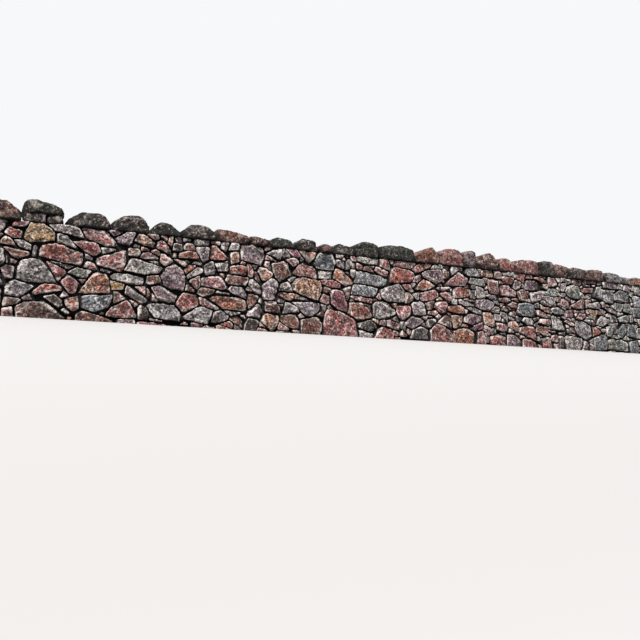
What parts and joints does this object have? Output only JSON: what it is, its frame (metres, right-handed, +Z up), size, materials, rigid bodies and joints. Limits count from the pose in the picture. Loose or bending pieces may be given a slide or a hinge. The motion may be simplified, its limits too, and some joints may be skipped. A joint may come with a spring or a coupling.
{
  "type": "dry stone wall",
  "caption": "Free-standing battered wall of dry-laid granite rubble on foundation slabs, with a rough cope along a top that climbs from one end to the other.",
  "frame": {"origin": "middle of the wall's footprint at ground level", "axes": "+X along the wall from its low end to its high end, front face towards -Y, +Z up"},
  "size_m": [12, 0.836, 1.6281],
  "materials": {
    "walling_stone": "rough",
    "hearting_stone": "rough",
    "footing_stone": "rough",
    "cope_stone": "rough",
    "packing_stone": "rough"
  },
  "bodies": {
    "root": {"front_face_1": "walling_stone", "front_face_2": "walling_stone", "front_face_3": "walling_stone", "front_face_4": "walling_stone", "front_face_5": "walling_stone", "front_face_6": "walling_stone", "back_face_1": "walling_stone", "back_face_2": "walling_stone", "back_face_3": "walling_stone", "back_face_4": "walling_stone", "back_face_5": "walling_stone", "back_face_6": "walling_stone", "left_head": "walling_stone", "right_head": "walling_stone", "hearting": "hearting_stone", "front_footing_1": "footing_stone", "front_footing_2": "footing_stone", "front_footing_3": "footing_stone", "front_footing_4": "footing_stone", "front_footing_5": "footing_stone", "front_footing_6": "footing_stone", "back_footing_1": "footing_stone", "back_footing_2": "footing_stone", "back_footing_3": "footing_stone", "back_footing_4": "footing_stone", "back_footing_5": "footing_stone", "back_footing_6": "footing_stone", "left_head_footing": "footing_stone", "right_head_footing": "footing_stone", "cope_stones_1": "cope_stone", "cope_stones_2": "cope_stone", "cope_stones_3": "cope_stone", "cope_stones_4": "cope_stone", "cope_stones_5": "cope_stone", "cope_stones_6": "cope_stone", "packing_slabs": "packing_stone"}
  },
  "joints": []
}
